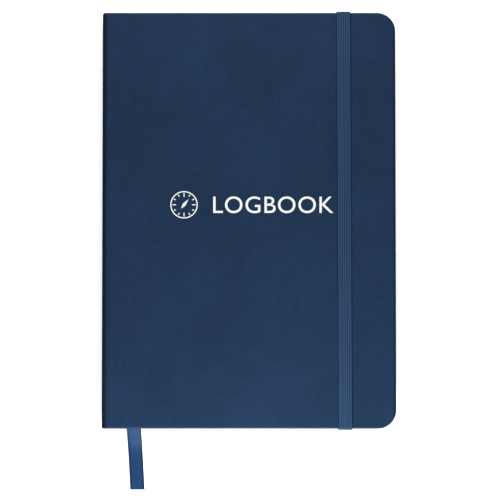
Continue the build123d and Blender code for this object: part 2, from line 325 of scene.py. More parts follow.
ruled_page, tree, shader = finish("ruled_page", PAPER, 0.8, specular=0.25)
page_u, page_v = uv_parts(tree)
page_x = calc(tree, "MULTIPLY", calc(tree, "SUBTRACT", page_u, 0.5), UV_W)
page_y = calc(tree, "MULTIPLY", calc(tree, "SUBTRACT", page_v, 0.5), UV_H)
row_phase = calc(tree, "PINGPONG", calc(tree, "SUBTRACT", page_y, TABLE_BOTTOM), ROW_PITCH / 2)
lines = calc(tree, "LESS_THAN", row_phase, ROW_W / 2)
for column in COLUMNS:
    lines = calc(tree, "MAXIMUM", lines, rule_at(tree, page_x, column, COLUMN_W))
for height in (TABLE_TOP, TABLE_TOP - 1.0):
    lines = calc(tree, "MAXIMUM", lines, rule_at(tree, page_y, height, HEAD_W))
inside = calc(tree, "LESS_THAN", calc(tree, "ABSOLUTE", page_x), COLUMNS[-1] + 0.1)
for test, limit in (("LESS_THAN", TABLE_TOP + TABLE_MARGIN), ("GREATER_THAN", TABLE_BOTTOM - TABLE_MARGIN)):
    inside = calc(tree, "MULTIPLY", inside, calc(tree, test, page_y, limit))
printed = calc(tree, "MULTIPLY", calc(tree, "MULTIPLY", lines, inside), INK_DENSITY)
tree.links.new(blend_colors(tree, printed, PAPER, INK), shader.inputs["Base Color"])
print("table:", len(COLUMNS) - 1, "columns,", int((TABLE_TOP - TABLE_BOTTOM) / ROW_PITCH), "rows")

# %% [markdown]
# Elastic webbing is drawn from its UV map: U runs across the band and V along it. The ribs are real
# geometry; the material adds the fine cross threads, paints shade into the grooves between them and
# paints a line of shade along both edges of the band.

# %% Elastic webbing
BAND_W, SELVEDGE, RIBS = 7.0, 0.14, 6
CROSS_PITCH, EDGE_U = 0.45, SELVEDGE / BAND_W
# The groove colour is painted shade: it darkens the grooves between the ribs and both edges of the band.
PAINTED_GROOVE_SHADE, RIB_NAVY = (0.0010, 0.0080, 0.0260), (0.0150, 0.0540, 0.1330)

elastic_webbing, tree, shader = finish("elastic_webbing", (0.026, 0.058, 0.125), 0.7, specular=0.25)
band_u, band_v = uv_parts(tree)
pick = calc(tree, "PINGPONG", calc(tree, "MULTIPLY", band_v, 1 / CROSS_PITCH), 0.5)
on_ribs = calc(tree, "DIVIDE", calc(tree, "SUBTRACT", band_u, EDGE_U), 1 - 2 * EDGE_U)
rib = calc(tree, "PINGPONG", calc(tree, "MULTIPLY", on_ribs, float(RIBS)), 0.5)
# The next mask is 0 along both edges of the band, which get the painted groove shade.
face = ramp(tree, calc(tree, "PINGPONG", band_u, 0.5), EDGE_U, 1 / 60)
threads_and_shade = calc(tree, "ADD", calc(tree, "MULTIPLY", rib, 2.5), calc(tree, "MULTIPLY", pick, 0.4), clamp=True)
threads_and_shade = calc(tree, "MULTIPLY", threads_and_shade, face)
tree.links.new(blend_colors(tree, threads_and_shade, PAINTED_GROOVE_SHADE, RIB_NAVY), shader.inputs["Base Color"])
bump(tree, shader, pick, 0.00008, 0.6)
print("finish:", elastic_webbing.name, "with", RIBS, "ribs")

# %% [markdown]
# The satin ribbon is smoother and brighter than the elastic. Its edges are woven with small loops, and
# a mask of dashes, one for each loop, paints shade on the outer eighth of the width on each side.

# %% Ribbon satin
PICOT = 1.5  # pitch of the woven edge: a picot is one of its loops
WEFT_PITCH, EDGE_START, DASH_HALF_GAP = 0.3, 0.75, PICOT * 0.24
SATIN_DARK, SATIN_LIGHT = (0.0075, 0.0340, 0.0980), (0.0120, 0.0450, 0.1240)
# The next colour is painted shade on the loops of the woven edge, laid on in dashes.
PICOT_SHADE_NAVY = (0.0008, 0.0030, 0.0090)

ribbon_satin, tree, shader = finish("ribbon_satin", (0.008, 0.034, 0.1), 0.55, specular=0.1)
ribbon_u, ribbon_v = uv_parts(tree)
across = calc(tree, "MULTIPLY", calc(tree, "ABSOLUTE", calc(tree, "SUBTRACT", ribbon_u, 0.5)), 2.0)
edge = calc(tree, "GREATER_THAN", across, EDGE_START)
dash = calc(tree, "GREATER_THAN", calc(tree, "PINGPONG", ribbon_v, PICOT / 2), DASH_HALF_GAP)
weft = calc(tree, "PINGPONG", calc(tree, "MULTIPLY", ribbon_v, 1 / WEFT_PITCH), 0.5)
satin_color = blend_colors(tree, weft, SATIN_DARK, SATIN_LIGHT)
satin_color = blend_colors(tree, calc(tree, "MULTIPLY", edge, dash), satin_color, PICOT_SHADE_NAVY)
tree.links.new(satin_color, shader.inputs["Base Color"])
bump(tree, shader, weft, 0.00004, 0.5)
print("finish:", ribbon_satin.name)

# %% [markdown]
# The last finishes are small: grey-brown card for the boards, open cloth for the mull, linen thread,
# the two-colour silk of the headbands, and the white foil of the print on the front. The floor glows a
# little, as a lit paper background does, so that the shadow on it stays soft.

# %% Small materials
FLOOR_GLOW = 0.55
card, tree, shader = finish("card", (0.36, 0.31, 0.24), 0.9, specular=0.2)
card_color = blend_colors(tree, grain(tree, 700, 90)[1], (0.27, 0.23, 0.18), (0.43, 0.37, 0.29))
tree.links.new(card_color, shader.inputs["Base Color"])
mull_cloth, tree, shader = finish("mull_cloth", (0.66, 0.63, 0.54), 0.9, specular=0.2)
bump(tree, shader, grain(tree, 1800, 300)[0], 0.0002, 0.8)
linen_thread = finish("linen_thread", (0.74, 0.70, 0.60), 0.75)[0]
silk_navy = finish("silk_navy", (0.012, 0.035, 0.09), 0.45)[0]
silk_white = finish("silk_white", (0.78, 0.77, 0.72), 0.45)[0]
foil_white = finish("foil_white", (0.86, 0.87, 0.88), 0.45, specular=0.4)[0]
floor_white, tree, shader = finish("floor_white", (0.96, 0.96, 0.96), 0.9, specular=0.1)
shader.inputs["Emission Color"].default_value = (1, 1, 1, 1)
shader.inputs["Emission Strength"].default_value = FLOOR_GLOW
print("materials:", len(bpy.data.materials))


# %% [markdown]
# ## Helpers for meshes
# A piece is made from a list of points in millimetres and a list of faces. It also stores its resting
# place, which the case's material reads, and a UV map where the pattern follows the piece.

# %% Mesh helpers
def put_uv(mesh, uvs):
    """Stores one UV for each face corner, in the order of the mesh's loops."""
    layer = mesh.uv_layers.new(name="UVMap")
    for loop, value in zip(layer.data, uvs):
        loop.uv = value


def remember_place(mesh):
    """Stores each point's resting place, for patterns on pieces that bend."""
    stored = mesh.attributes.new("rest_place", "FLOAT_VECTOR", "POINT")
    for item, vertex in zip(stored.data, mesh.vertices):
        item.vector = vertex.co


def make_piece(name, points, faces, material, smooth=True, uvs=None, slot_name=None):
    """A mesh object at the origin from points in mm."""
    mesh = bpy.data.meshes.new(name)
    mesh.from_pydata([Vector(p) * MM for p in points], [], faces)
    mesh.materials.append(material)
    if uvs is not None:
        put_uv(mesh, uvs)
    mesh.polygons.foreach_set("use_smooth", [smooth] * len(mesh.polygons))
    remember_place(mesh)
    piece = new_object(name, mesh)
    return piece


print("mesh helpers: put_uv, remember_place, make_piece")

# %% [markdown]
# A closed solid needs one point at each corner and all its faces turned outwards. A modifier's result
# is kept as a plain mesh, so that nothing is left to compute later. Weighted normals keep a large flat
# face flat in the light; without them, the rounding of its edge would spread over it.

# %% Helpers that finish a mesh
SHARP = math.radians(50)  # an edge that turns by more than this stays sharp


def fix_normals(piece):
    """Merges doubles and points all faces outwards."""
    work = bmesh.new()
    work.from_mesh(piece.data)
    bmesh.ops.remove_doubles(work, verts=work.verts, dist=1e-7)
    bmesh.ops.recalc_face_normals(work, faces=work.faces)
    work.to_mesh(piece.data)
    work.free()
    return piece


def evaluated_mesh(piece):
    """A new plain mesh of the piece with its modifiers applied."""
    bpy.context.view_layer.update()
    graph = bpy.context.evaluated_depsgraph_get()
    return bpy.data.meshes.new_from_object(piece.evaluated_get(graph))


def plain_mesh(piece):
    """Applies the modifiers, so that the mesh is final."""
    mesh = evaluated_mesh(piece)
    piece.modifiers.clear()
    piece.data = mesh
    return piece


def even_shading(piece):
    """Keeps the shading of large flat faces flat, with smooth shading only round their edges."""
    piece.data.set_sharp_from_angle(angle=SHARP)
    weights = piece.modifiers.new("weighted_normals", "WEIGHTED_NORMAL")
    weights.keep_sharp = True
    return plain_mesh(piece)


print("finishing helpers: fix_normals, evaluated_mesh, plain_mesh, even_shading")

# %% [markdown]
# Most of this book is plates with rounded corners and edges. A Bevel modifier could round them, but a
# plate is also easy to draw as a stack of outlines, each set in a little from the last where the edge
# is rounded, with a flat face at both ends. Then every radius is exactly the one that is asked for.

# %% Plates
def outline(x0, x1, y, r_left, r_right, steps=10):
    """Points round a rectangle with rounded corners, anticlockwise seen from above."""
    corners = [(x1 - r_right, r_right - y, r_right, -90), (x1 - r_right, y - r_right, r_right, 0)]
    corners += [(x0 + r_left, y - r_left, r_left, 90), (x0 + r_left, r_left - y, r_left, 180)]
    found = []
    for cx, cy, r, first in corners:
        for step in range(steps + 1):
            a = math.radians(first + 90 * step / steps)
            found.append((cx + r * math.cos(a), cy + r * math.sin(a)))
    return found


def quarter(r, steps=6):
    """(inset, drop) pairs round a quarter circle, from the wall to the face."""
    turn = [math.pi / 2 * step / steps for step in range(steps + 1)]
    return [(r * (1 - math.cos(a)), r * (1 - math.sin(a))) for a in turn]


def stack(name, rings, material, **more):
    """A closed solid through rings of equal length, from the bottom up."""
    n = len(rings[0])
    points = [p for ring in rings for p in ring]
    faces = [tuple(reversed(range(n)))]
    for k in range(len(rings) - 1):
        for i in range(n):
            j = (i + 1) % n
            faces.append((k * n + i, k * n + j, (k + 1) * n + j, (k + 1) * n + i))
    faces.append(tuple(range((len(rings) - 1) * n, len(rings) * n)))
    return make_piece(name, points, faces, material, **more)


print("plate helpers: outline, quarter, stack")

# %% [markdown]
# ## Helpers for Geometry Nodes
# What repeats or follows a line is made by Geometry Nodes. Each tree is built here from code, gets
# named inputs for its sizes, and is run on a piece as a modifier. The result is kept as a plain mesh.

# %% Geometry Nodes helpers
def new_tree(name, sockets):
    """A tree with named inputs. Returns the tree, its two ends and the identifiers of its inputs."""
    tree = bpy.data.node_groups.new(name, "GeometryNodeTree")
    tree.interface.new_socket("Geometry", in_out="OUTPUT", socket_type="NodeSocketGeometry")
    names = {}
    for label, kind, value in sockets:
        socket = tree.interface.new_socket(label, in_out="INPUT", socket_type="NodeSocket" + kind)
        names[label] = socket.identifier
        if value is not None:
            socket.default_value = value
    return tree, tree.nodes.new("NodeGroupInput"), tree.nodes.new("NodeGroupOutput"), names


def node_in(tree, kind, settings=None, **values):
    """A node in a tree. The settings go on the node; the values or links go to its inputs."""
    node = tree.nodes.new(kind)
    for label, value in (settings or {}).items():
        setattr(node, label, value)
    for label, value in values.items():
        socket = node.inputs[label.replace("_", " ")]
        if hasattr(value, "links"):
            tree.links.new(value, socket)
        else:
            socket.default_value = value
    return node


def end_tree(tree, geometry, material, out):
    """The end of every tree: copies are made real and get their material."""
    real = node_in(tree, "GeometryNodeRealizeInstances", Geometry=geometry)
    paint = node_in(tree, "GeometryNodeSetMaterial", Geometry=real.outputs[0], Material=material)
    tree.links.new(paint.outputs[0], out.inputs[0])


def run_tree(piece, tree, names, values):
    """Puts the tree on a piece with these input values, and returns the result as a plain mesh."""
    modifier = piece.modifiers.new(tree.name, "NODES")
    modifier.node_group = tree
    for label, value in values.items():
        modifier[names[label]] = value
    mesh = evaluated_mesh(piece)
    piece.modifiers.clear()
    return mesh


print("tree helpers: new_tree, node_in, end_tree, run_tree")

# %% [markdown]
# ## The case
# Each cover is a stiff board wrapped in skin. The skin rolls over the board at the head, the tail and
# the fore edge, and stops square near the spine, where a separate hinge strip carries on round the
# corner. Splitting it there lets the cover stay rigid while only the strip bends.

# %% Covers
COVER_T, INNER_R, FORE_CORNER = 2.34, 0.7, 9.3  # the pastedown stands 0.06 proud of the cover
HINGE_X = COVER_X0 + ROLL
HINGE_CORNER = 0.02  # the corners beside the hinge are square to the eye


def cover(name, z0, top_r, bottom_r):
    """One cover, from its lower face at z0."""
    rings = [(inset, z0 + drop) for inset, drop in reversed(quarter(bottom_r))]
    rings += [(inset, z0 + COVER_T - drop) for inset, drop in quarter(top_r)]
    loops = []
    for inset, z in rings:
        flat = outline(HINGE_X, COVER_X1 - inset, COVER_Y - inset, HINGE_CORNER, FORE_CORNER - inset)
        loops.append([(x, y, z) for x, y in flat])
    return stack(name, loops, case_skin, slot_name="case_skin")


front_case = even_shading(cover("front_cover_case", TOP_Z - COVER_T, EDGE_R, INNER_R))
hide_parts("front_cover_skin")
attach(front_case, "front_cover")
back_case = cover("back_cover_case", 0.0, INNER_R, EDGE_R)
print("front cover faces:", len(front_case.data.polygons))

# %% [markdown]
# The back cover has a shallow channel near each end, so that the elastic doesn't stop it from lying
# flat, and a slot that the elastic passes through. Drawing the plate round them would take many more
# outlines, so a Boolean modifier cuts both from the finished plate.

# %% Channel and slots for the elastic
BAND_X, CHANNEL_W = 48.1, BAND_W + 0.9
CUTS = (((96.0, 107.0), 0.62), ((95.9, 96.7), 2.1))  # channel and slot: from and to along Y, height
CUT_BELOW = -1.0  # the cutter starts under the plate, so that no two faces coincide
BOX_FACES = ((0, 2, 3, 1), (4, 5, 7, 6), (0, 1, 5, 4), (2, 6, 7, 3), (0, 4, 6, 2), (1, 3, 7, 5))
cut_x = (BAND_X - CHANNEL_W / 2, BAND_X + CHANNEL_W / 2)
points, faces = [], []
for side in (-1, 1):
    for ends, height in CUTS:
        first, cut_y = len(points), sorted(side * end for end in ends)
        points += [(x, y, z) for z in (CUT_BELOW, height) for y in cut_y for x in cut_x]
        faces += [tuple(first + i for i in face) for face in BOX_FACES]
cutter = make_piece("channel_cutter", points, faces, case_skin, smooth=False)
cut = back_case.modifiers.new("channels", "BOOLEAN")
cut.operation, cut.object, cut.solver = "DIFFERENCE", cutter, "EXACT"
cut.use_self = True
plain_mesh(back_case)
bpy.data.objects.remove(cutter)
even_shading(back_case)
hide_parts("back_cover_skin")
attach(back_case, "back_cover")
print("back cover faces:", len(back_case.data.polygons))

# %% [markdown]
# The spine is a strip of card in the same skin, rounded at the head and the tail. Its long edges stop
# short of the corners, where the hinge strips take over, so two outlines are enough for it.

# %% Spine
SPINE_Z0, SPINE_Z1, SPINE_INNER_X, SPINE_INNER_R = 2.2, 14.6, -72.3, 0.5
loops = []
for z in (SPINE_Z0, SPINE_Z1):
    loops.append([(x, y, z) for x, y in outline(COVER_X0, SPINE_INNER_X, COVER_Y, EDGE_R, SPINE_INNER_R)])
spine_case = stack("spine_case", loops, case_skin, slot_name="case_skin")
spine_case.data.shade_smooth()
spine_case.data.set_sharp_from_angle(angle=SHARP)
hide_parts("spine_skin", "spine_board")
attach(spine_case, "spine")
print("spine height:", round(SPINE_Z1 - SPINE_Z0, 1), "mm")

# %% [markdown]
# A hinge strip follows the rolled corner from the cover's flat face to the spine's. It is drawn as a
# quarter ring, and the two bodies that it bends between are printed.
# The front corner bends in two ways: with the whole front half, and with the cover alone. It has two
# strips, one just inside the other, so that one of them closes the corner whichever way it opens.

# %% Hinge strips
STRIP_T, STRIP_T_LEAST, STRIP_STEPS = 0.45, 0.12, 12
STRIP_GAP = 0.07  # how much smaller the inner of the two front strips is
TO_SPINE, TO_COVER = range(STRIP_STEPS + 1), range(STRIP_STEPS, -1, -1)


def hinge_strip(name, z_face, way, depth, a, b):
    """A strip round the corner at z_face. way is 1 for the front corner and -1 for the back one."""
    centre_z = z_face - way * ROLL
    ends = [(0.0, drop, COVER_Y - inset) for inset, drop in quarter(EDGE_R, 5)]
    stations = [(drop, -y) for _, drop, y in ends] + [(drop, y) for _, drop, y in reversed(ends)]
    rings = []
    for drop, y in stations:
        outer = ROLL - depth - drop
        inner = min(ROLL - depth - STRIP_T, outer - STRIP_T_LEAST)
        section = []
        for r, order in ((outer, TO_SPINE), (inner, TO_COVER)):
            for step in order:
                turn = math.radians(90 + 90 * step / STRIP_STEPS)
                section.append((HINGE_X + r * math.cos(turn), y, centre_z + way * r * math.sin(turn)))
        rings.append(section)
    piece = fix_normals(stack(name, rings, rolled_skin, slot_name="case_skin"))
    piece.data.set_sharp_from_angle(angle=SHARP)
    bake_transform(piece)
    print(name, "bends between", a, "and", b)


hinge_strip("hinge_strip_back", 0.0, -1, 0.0, "back_cover", "spine")
hinge_strip("hinge_strip_front", TOP_Z, 1, STRIP_GAP, "spine", "front_half")
hinge_strip("hinge_strip_cover", TOP_Z, 1, 0.0, "front_half", "front_cover")

# %% [markdown]
# ## The pages
# There are 96 leaves. One leaf is made as a thin closed sheet with extra columns of points near the
# spine, and Geometry Nodes stack it into each half, each leaf shifted by a few hundredths of a
# millimetre, as trimmed paper lies. The page's UV map travels with every copy.

# %% One leaf
PAGE_X0, PAGE_X1, PAGE_Y, PAGE_CORNER = -71.3, 70.8, 102.0, 8.0
PAGE_MIDDLE, GUTTER_X = -0.25, -62.0  # along X; the pages turn down between the gutter and the spine
BLANK_UV = (0.01, 0.01)  # a spot outside the printed table, for the cut edges


def leaf_mesh(name, z, thickness, columns):
    """A sheet of paper as a closed solid, in columns along X."""
    points = []
    for x in columns:
        past = max(0.0, x - (PAGE_X1 - PAGE_CORNER))
        half = PAGE_Y - PAGE_CORNER + math.sqrt(max(0.0, PAGE_CORNER**2 - past**2))
        for height in (z, z + thickness):
            points += [(x, -half, height), (x, half, height)]
    faces = [(0, 2, 3, 1)]
    last = 4 * (len(columns) - 1)
    for k in range(len(columns) - 1):
        a, b = 4 * k, 4 * k + 4
        faces += [(a, a + 1, b + 1, b), (a + 2, b + 2, b + 3, a + 3)]
        faces += [(a, b, b + 2, a + 2), (a + 1, a + 3, b + 3, b + 1)]
    faces.append((last, last + 1, last + 3, last + 2))
    uvs = []
    for face in faces:
        level = len({points[i][2] for i in face}) == 1
        for i in face:
            x, y = points[i][0] - PAGE_MIDDLE, points[i][1]
            uvs.append((0.5 + x / UV_W, 0.5 + y / UV_H) if level else BLANK_UV)
    return points, faces, uvs


gutter_columns = [PAGE_X0 + (GUTTER_X - PAGE_X0) * k / 12 for k in range(13)]
corner_columns = [PAGE_X1 - PAGE_CORNER * (1 - math.sin(math.pi / 2 * k / 9)) for k in range(10)]
corner_columns[-1] = PAGE_X1 - 0.02
page_columns = gutter_columns + corner_columns
print("leaf columns:", len(page_columns))

# %% [markdown]
# The stacking tree takes a leaf, puts copies of it up a line, moves each one sideways at random with
# a fixed seed, and makes them real. Every size is a named input of the tree.

# %% Stacking tree
stack_tree, into, out, stack_names = new_tree("stack_leaves", [
    ("Geometry", "Geometry", None), ("Count", "Int", 1), ("Pitch", "Float", 0.0001),
    ("Shift", "Float", 0.0001), ("Seed", "Int", 7), ("Material", "Material", None),
])
given = into.outputs
rise = node_in(stack_tree, "ShaderNodeCombineXYZ", Z=given["Pitch"])
line = node_in(stack_tree, "GeometryNodeMeshLine", Count=given["Count"], Offset=rise.outputs[0])
copies = node_in(stack_tree, "GeometryNodeInstanceOnPoints", Points=line.outputs[0],
                 Instance=given["Geometry"])
sideways = {"Min": (-1, -1, 0), "Max": (1, 1, 0)}
vectors = {"data_type": "FLOAT_VECTOR"}
chance = node_in(stack_tree, "FunctionNodeRandomValue", vectors, Seed=given["Seed"], **sideways)
scaled = {"operation": "SCALE"}
step = node_in(stack_tree, "ShaderNodeVectorMath", scaled, Vector=chance.outputs[0], Scale=given["Shift"])
moved = node_in(stack_tree, "GeometryNodeTranslateInstances", Instances=copies.outputs[0],
                Translation=step.outputs[0])
end_tree(stack_tree, moved.outputs[0], given["Material"], out)


def stacked(piece, count, pitch, shift_by, material, seed):
    """Runs the stacking tree on a piece."""
    values = {"Count": count, "Pitch": pitch * MM, "Shift": shift_by * MM, "Seed": seed, "Material": material}
    piece.data = run_tree(piece, stack_tree, stack_names, values)
    return piece


print("stacking tree inputs:", list(stack_names))

# %% [markdown]
# The tree runs twice, once for each half of the book. Each half stands for six sewn signatures.

# %% Two halves of the page block
LEAVES, LEAF_PITCH, LEAF_T, LEAF_SHIFT = 48, 0.1163, 0.098, 0.07  # for one half
BACK_PAGES_Z, FRONT_PAGES_Z = 2.56, 8.60
for name, z, a, numbers, seed in [
    ("pages_back_half", BACK_PAGES_Z, "back_cover", range(1, 7), 3),
    ("pages_front_half", FRONT_PAGES_Z, "front_half", range(7, 13), 5),
]:
    points, faces, uvs = leaf_mesh(name, z, LEAF_T, page_columns)
    half = make_piece(name, points, faces, ruled_page, smooth=False, uvs=uvs, slot_name="page")
    stacked(half, LEAVES, LEAF_PITCH, LEAF_SHIFT, ruled_page, seed)
    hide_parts(*[f"signature_{n:02d}" for n in numbers])
    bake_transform(half)
    print(name, len(half.data.polygons), "faces")

# %% [markdown]
# One leaf at the middle stands up when the book opens. A leaf on a plain hinge would look like card, so
# this one has columns of points over its whole width.

# %% Middle leaf
MIDDLE_Z, MIDDLE_T, MIDDLE_STEP, MIDDLE_BEND_X = 8.45, 0.1, 3.0, 20
middle_columns = [PAGE_X0 + MIDDLE_STEP * k for k in range(45)] + corner_columns
points, faces, uvs = leaf_mesh("leaf_at_middle", MIDDLE_Z, MIDDLE_T, middle_columns)
middle = make_piece("leaf_at_middle", points, faces, ruled_page, smooth=False, uvs=uvs, slot_name="page")
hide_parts("middle_leaf")
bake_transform(middle)
print("middle leaf columns:", len(middle_columns))

# %% [markdown]
# The endpaper is one sheet: half is pasted to the cover and half is the flyleaf. Where it crosses the
# hinge it is a fold, which is closed flat at rest.

# %% Endpaper hinge
FOLD_Z0, FOLD_Z1, FOLD_X, FOLD_END, FOLD_Y = 14.352, 14.398, -72.4, -66.0, 101.0
FOLD_T, FOLD_REACH = 0.008, 20  # the fold is drawn out to a long, thin oval
fold_middle, fold_r = (FOLD_Z0 + FOLD_Z1) / 2, (FOLD_Z1 - FOLD_Z0) / 2
fold_path = [(FOLD_END - 1.0 * k, FOLD_Z0) for k in range(6)]
for k in range(9):
    turn = math.radians(-90 - 180 * k / 8)
    x = FOLD_X + FOLD_REACH * fold_r * math.cos(turn)
    fold_path.append((x, fold_middle + fold_r * math.sin(turn)))
fold_path += [(FOLD_END - 1.0 * k, FOLD_Z1) for k in range(5, -1, -1)]
loops = []
for x, z in fold_path:
    thick = z + (FOLD_T if z < fold_middle else -FOLD_T)
    loops.append([(x, -FOLD_Y, z), (x, FOLD_Y, z), (x, FOLD_Y, thick), (x, -FOLD_Y, thick)])
endpaper_fold = fix_normals(stack("endpaper_hinge", loops, endpaper, slot_name="endpaper"))
endpaper_fold.data.set_sharp_from_angle(angle=SHARP)
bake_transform(endpaper_fold)
print("endpaper fold faces:", len(endpaper_fold.data.polygons))


# %% [markdown]
# ## Bands that follow a path
# The elastic and the ribbon are both long, flat and narrow. The sweeping tree carries a cross-section
# along a line of points. It sets the line's normal to the side of the band, so that the section stays
# flat to the surface, and can make the width wave, for a woven edge. It stores how far each point is
# along and across the band, and makes the UV map from that: U across, V along in millimetres.

# %% Sweeping tree
sweep_tree, into, out, sweep_names = new_tree("sweep_band", [
    ("Geometry", "Geometry", None), ("Profile", "Object", None), ("Side", "Vector", (-1, 0, 0)),
    ("Width", "Float", 0.007), ("Wave", "Float", 0.0), ("Wave Pitch", "Float", 0.0015),
    ("Material", "Material", None),
])
given, store = into.outputs, "GeometryNodeStoreNamedAttribute"
run = node_in(sweep_tree, "GeometryNodeSplineParameter").outputs["Length"]
free = {"mode": "FREE"}
level = node_in(sweep_tree, "GeometryNodeSetCurveNormal", free, Curve=given["Geometry"], Normal=given["Side"])
along = node_in(sweep_tree, store, Geometry=level.outputs[0], Name="along", Value=run)
turns = calc(sweep_tree, "MULTIPLY", calc(sweep_tree, "DIVIDE", run, given["Wave Pitch"]), 2 * math.pi)
wave = calc(sweep_tree, "MULTIPLY", calc(sweep_tree, "COSINE", turns), given["Wave"])
profile = node_in(sweep_tree, "GeometryNodeObjectInfo", Object=given["Profile"])
position = node_in(sweep_tree, "GeometryNodeInputPosition").outputs[0]
place = node_in(sweep_tree, "ShaderNodeSeparateXYZ", Vector=position)
u = calc(sweep_tree, "ADD", calc(sweep_tree, "DIVIDE", place.outputs[0], given["Width"]), 0.5)
across = node_in(sweep_tree, store, Geometry=profile.outputs["Geometry"], Name="across", Value=u)
band = node_in(sweep_tree, "GeometryNodeCurveToMesh", Curve=along.outputs[0], Profile_Curve=across.outputs[0],
               Scale=calc(sweep_tree, "ADD", wave, 1.0), Fill_Caps=True)
kept_values = "GeometryNodeInputNamedAttribute"
stored = [node_in(sweep_tree, kept_values, Name=label).outputs[0] for label in ("across", "along")]
uv = node_in(sweep_tree, "ShaderNodeCombineXYZ", X=stored[0], Y=calc(sweep_tree, "DIVIDE", stored[1], MM))
corner = {"data_type": "FLOAT2", "domain": "CORNER"}
mapped = node_in(sweep_tree, store, corner, Geometry=band.outputs[0], Name="UVMap", Value=uv.outputs[0])
smooth = node_in(sweep_tree, "GeometryNodeSetShadeSmooth", Geometry=mapped.outputs[0])
end_tree(sweep_tree, smooth.outputs[0], given["Material"], out)
print("sweeping tree inputs:", list(sweep_names))

# %% [markdown]
# The tree needs a curve for the path and another for the section. Both are made for the moment, and
# only the swept mesh stays. A path with corners is rounded first, and gets points at even steps,
# because a long straight piece without points in it couldn't bend.

# %% Sweep helpers
def line_of(name, points, closed=False):
    """A curve object of straight pieces through points in mm."""
    curve = bpy.data.curves.new(name, "CURVE")
    curve.dimensions = "3D"
    spline = curve.splines.new("POLY")
    spline.points.add(len(points) - 1)
    for point, spot in zip(spline.points, points):
        point.co = (*(Vector(spot) * MM), 1)
    spline.use_cyclic_u = closed
    return new_object(name, curve)


def swept(name, line, section, material, wave=0.0):
    """Sweeps a section of (across, up) points in mm along a line, as a new piece."""
    profile = line_of("profile", [(s, t, 0) for s, t in section], closed=True)
    path = line_of("path", line)
    width = (max(s for s, t in section) - min(s for s, t in section)) * MM
    values = {"Profile": profile, "Width": width, "Wave": wave, "Wave Pitch": PICOT * MM}
    values["Material"] = material
    mesh = run_tree(path, sweep_tree, sweep_names, values)
    for helper in (path, profile):
        bpy.data.objects.remove(helper)
    remember_place(mesh)
    piece = new_object(name, mesh)
    return fix_normals(piece)


def rounded_path(corners, radii, step):
    """A line through corners, each rounded by its radius, with points about step apart."""
    line = [corners[0]]
    for k in range(1, len(corners) - 1):
        a, b, c = corners[k - 1], corners[k], corners[k + 1]
        u, v, r = (a - b).normalized(), (c - b).normalized(), radii[k]
        for t in range(7):
            w = t / 6
            line.append((b + u * r) * (1 - w) ** 2 + b * 2 * w * (1 - w) + (b + v * r) * w**2)
    line.append(corners[-1])
    full = [line[0]]
    for p, q in zip(line, line[1:]):
        pieces = max(1, int((q - p).length / step))
        full += [p + (q - p) * k / pieces for k in range(1, pieces + 1)]
    return full


print("sweep helpers: line_of, swept, rounded_path")

# %% [markdown]
# ## Elastic closure
# The elastic is a webbing with six raised ribs and a thin selvedge on each side. The section is drawn
# once, from edge to edge: a row of humps on top, and a flat underside with undercut corners.

# %% Section of the elastic
BAND_T, RIB_STEPS, RIB_LIFT, CROWN = 0.6, 6, 0.15, 0.12
half_w, mid_t, rib_points = BAND_W / 2, BAND_T / 2, RIBS * RIB_STEPS
section = []
for k in range(rib_points + 1):
    s = (half_w - SELVEDGE) * (2 * k / rib_points - 1)
    lift = RIB_LIFT * abs(math.sin(math.pi * k / RIB_STEPS)) ** 0.6 + CROWN * abs(s / half_w) ** 4
    section.append((s, mid_t - RIB_LIFT + lift))
undercut = [(half_w - 0.2, 0.05), (half_w, -0.12), (half_w - 0.1, -0.24), (half_w - 0.35, -mid_t)]
for side in (1, -1):
    section += [(side * s, t) for s, t in undercut[::side]]
section.reverse()
print("points in the section:", len(section))

# %% [markdown]
# The elastic runs over the front, down both ends, into the channels of the back cover and up through
# its slots.

# %% Elastic
BAND_END_Y, SLOT_Y, SLOT_TOP = 82, 96.3, 1.75
BAND_LEAN = 0.35  # how far it drifts sideways over half the length of the cover
BAND_STEP, HOLD_Z = 2.0, 2.4  # a point of the path about every BAND_STEP mm
band_z, band_y = TOP_Z + mid_t, COVER_Y + mid_t


def lean(y):
    """The X of the middle of the band at this place along the cover."""
    return BAND_X - BAND_LEAN * y / COVER_Y


def end_run(side):
    """The corners of the path at one end of the book, from inside the cover to the front."""
    end_x, slot_x = lean(side * 105), lean(side * 96)
    return [
        Vector((lean(side * BAND_END_Y), side * BAND_END_Y, SLOT_TOP)),
        Vector((slot_x, side * SLOT_Y, SLOT_TOP)), Vector((slot_x, side * SLOT_Y, mid_t)),
        Vector((end_x, side * band_y, mid_t)), Vector((end_x, side * band_y, band_z)),
    ]


corner_radii = [0, 0.5, 0.5, 0.8, 1.1]
band_corners, band_radii = end_run(1) + end_run(-1)[::-1], corner_radii + corner_radii[::-1]
band_line = rounded_path(band_corners, band_radii, BAND_STEP)
elastic = swept("elastic_closure", band_line, section, elastic_webbing)
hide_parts("elastic_band")
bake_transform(elastic)
print("elastic length mm:", round(sum((b - a).length for a, b in zip(band_line, band_line[1:]))))
